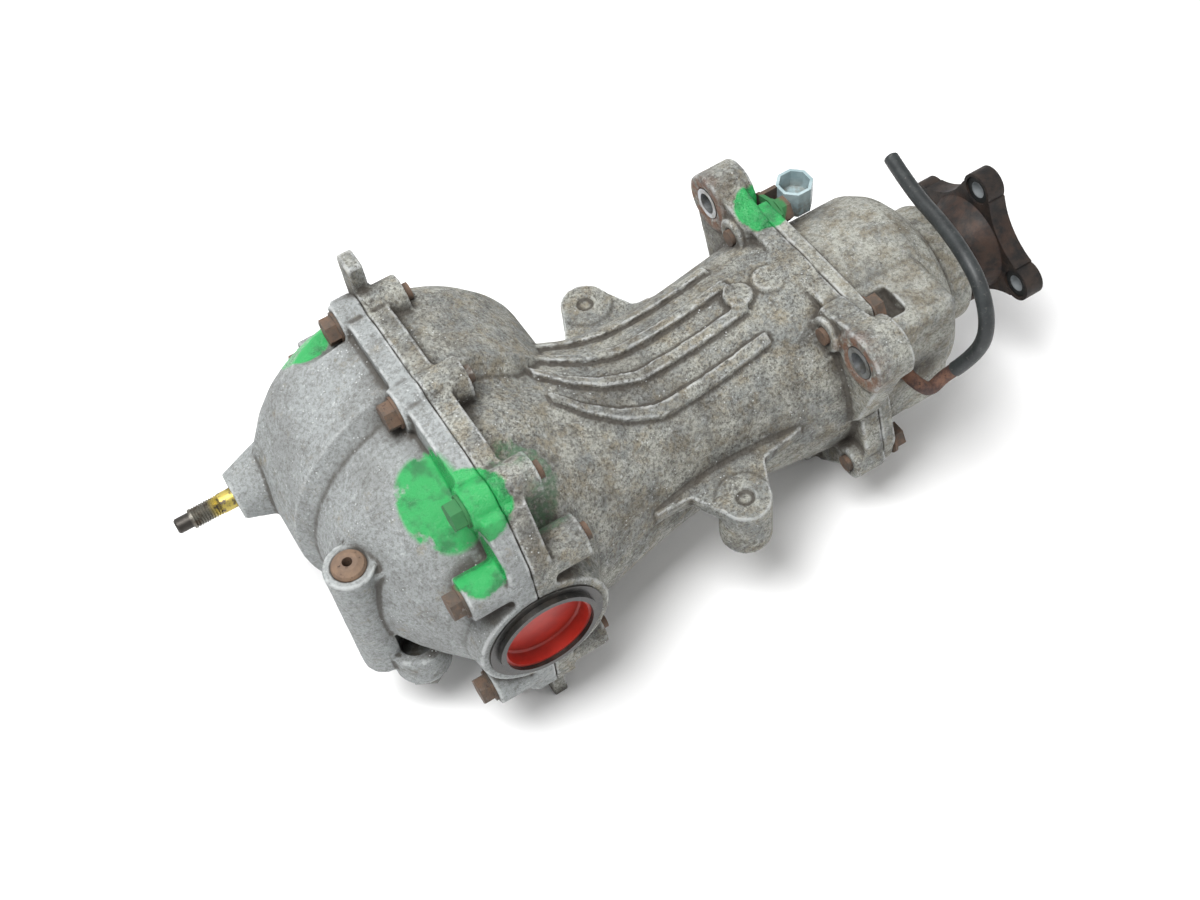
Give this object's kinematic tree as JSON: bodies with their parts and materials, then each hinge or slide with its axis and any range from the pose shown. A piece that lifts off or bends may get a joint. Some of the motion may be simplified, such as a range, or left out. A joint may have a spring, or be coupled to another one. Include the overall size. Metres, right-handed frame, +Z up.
{
  "type": "rear differential",
  "caption": "Rear final drive with an electrically controlled coupling: ring and pinion in a split aluminium case, with a four-arm companion flange in front.",
  "frame": {"origin": "centre of the companion flange's front face, on the pinion axis", "axes": "+X forward along the pinion axis, out of the flange; +Y to the vehicle's left, along the axle; +Z up"},
  "size_m": [0.508, 0.216, 0.218],
  "materials": {
    "cast_case": "oxidised and dirty cast aluminium, with paint overspray in places",
    "bearing_steel": "ground bearing steel",
    "gear_steel": "hardened gear steel, oily",
    "differential_iron": "machined cast iron, oily",
    "seal_rubber": "matt black seal rubber",
    "red_plastic": "bright red moulded plastic",
    "rusty_steel": "steel with an even brown rust",
    "plated_steel": "worn zinc plating",
    "coil_metal": "plain steel coil housing",
    "connector_plastic": "pale grey plastic, slightly cloudy",
    "hose_rubber": "dusty black rubber"
  },
  "bodies": {
    "housing": {"rear_cover": "cast_case", "carrier_housing": "cast_case", "coupling_housing": "cast_case", "side_bearing_outer_left": "bearing_steel", "side_bearing_outer_right": "bearing_steel", "side_bearing_shims": "bearing_steel", "pinion_rear_bearing_outer": "bearing_steel", "pinion_front_bearing_outer": "bearing_steel", "input_bearing_outer": "bearing_steel", "axle_seal_left": "seal_rubber", "axle_seal_right": "seal_rubber", "centre_oil_seal": "seal_rubber", "front_oil_seal": "seal_rubber", "transport_plug_left": "red_plastic", "transport_plug_right": "red_plastic", "cover_bolts_short": "rusty_steel", "cover_bolts_long": "rusty_steel", "coupling_housing_bolts": "rusty_steel", "boss_insert": "rusty_steel", "connector_bracket": "rusty_steel", "breather_pipe": "rusty_steel", "mount_stud": "plated_steel", "mount_sleeve_left": "plated_steel", "mount_sleeve_right": "plated_steel", "drain_plug": "plated_steel", "filler_plug": "plated_steel", "coupling_coil": "coil_metal", "connector": "connector_plastic", "breather_hose": "hose_rubber"},
    "input": {"companion_flange": "rusty_steel", "flange_nut": "rusty_steel", "coupling_drum": "gear_steel", "coupling_plates": "gear_steel", "input_bearing_inner": "bearing_steel"},
    "input_ball_set": {"input_bearing_balls": "bearing_steel"},
    "case": {"differential_case": "differential_iron", "ring_gear": "gear_steel", "ring_gear_bolts": "rusty_steel", "cross_pin": "gear_steel", "lock_pin": "gear_steel", "side_gear_washers": "gear_steel", "spider_gear_washers": "gear_steel", "side_bearing_inner_left": "bearing_steel", "side_bearing_inner_right": "bearing_steel"},
    "side_roller_set_left": {"side_bearing_rollers_left": "bearing_steel"},
    "side_roller_set_right": {"side_bearing_rollers_right": "bearing_steel"},
    "pinion": {"drive_pinion": "gear_steel", "pinion_height_shim": "gear_steel", "pinion_spacer": "gear_steel", "pinion_nut": "gear_steel", "pinion_rear_bearing_inner": "bearing_steel", "pinion_front_bearing_inner": "bearing_steel", "coupling_hub": "gear_steel", "coupling_discs": "gear_steel"},
    "rear_roller_set": {"pinion_rear_bearing_rollers": "bearing_steel"},
    "front_roller_set": {"pinion_front_bearing_rollers": "bearing_steel"},
    "left_side_gear": {"side_gear_left": "gear_steel"},
    "right_side_gear": {"side_gear_right": "gear_steel"},
    "upper_spider": {"spider_gear_upper": "gear_steel"},
    "lower_spider": {"spider_gear_lower": "gear_steel"}
  },
  "joints": [
    {"name": "input_spin", "type": "hinge", "parent": "housing", "child": "input", "pos_m": [0, 0, 0], "axis": [1, 0, 0], "continuous": true},
    {"name": "input_balls_spin", "type": "hinge", "parent": "housing", "child": "input_ball_set", "pos_m": [-0.063, 0, 0], "axis": [1, 0, 0], "continuous": true},
    {"name": "case_spin", "type": "hinge", "parent": "housing", "child": "case", "pos_m": [-0.369, 0.008, 0.02], "axis": [0, 1, 0], "continuous": true},
    {"name": "side_rollers_left_spin", "type": "hinge", "parent": "housing", "child": "side_roller_set_left", "pos_m": [-0.369, 0.076, 0.02], "axis": [0, 1, 0], "continuous": true},
    {"name": "side_rollers_right_spin", "type": "hinge", "parent": "housing", "child": "side_roller_set_right", "pos_m": [-0.369, -0.06, 0.02], "axis": [0, 1, 0], "continuous": true},
    {"name": "pinion_spin", "type": "hinge", "parent": "housing", "child": "pinion", "pos_m": [-0.269, 0, 0], "axis": [1, 0, 0], "continuous": true},
    {"name": "rear_rollers_spin", "type": "hinge", "parent": "housing", "child": "rear_roller_set", "pos_m": [-0.282, 0, 0], "axis": [1, 0, 0], "continuous": true},
    {"name": "front_rollers_spin", "type": "hinge", "parent": "housing", "child": "front_roller_set", "pos_m": [-0.209, 0, 0], "axis": [1, 0, 0], "continuous": true},
    {"name": "left_side_gear_spin", "type": "hinge", "parent": "case", "child": "left_side_gear", "pos_m": [-0.369, 0.002, 0.02], "axis": [0, 1, 0], "continuous": true},
    {"name": "right_side_gear_spin", "type": "hinge", "parent": "case", "child": "right_side_gear", "pos_m": [-0.369, 0.002, 0.02], "axis": [0, 1, 0], "continuous": true},
    {"name": "upper_spider_spin", "type": "hinge", "parent": "case", "child": "upper_spider", "pos_m": [-0.369, 0.002, 0.02], "axis": [0, 0, 1], "continuous": true},
    {"name": "lower_spider_spin", "type": "hinge", "parent": "case", "child": "lower_spider", "pos_m": [-0.369, 0.002, 0.02], "axis": [0, 0, 1], "continuous": true}
  ],
  "couplings": [
    {"joint": "pinion_spin", "follows": "case_spin", "ratio": -2.4667},
    {"joint": "side_rollers_left_spin", "follows": "case_spin", "ratio": 0.43},
    {"joint": "side_rollers_right_spin", "follows": "case_spin", "ratio": 0.43},
    {"joint": "rear_rollers_spin", "follows": "case_spin", "ratio": -1.036},
    {"joint": "front_rollers_spin", "follows": "case_spin", "ratio": -1.0113},
    {"joint": "input_balls_spin", "follows": "input_spin", "ratio": 0.4},
    {"joint": "right_side_gear_spin", "follows": "left_side_gear_spin", "ratio": -1},
    {"joint": "upper_spider_spin", "follows": "left_side_gear_spin", "ratio": -1.4},
    {"joint": "lower_spider_spin", "follows": "left_side_gear_spin", "ratio": 1.4}
  ]
}
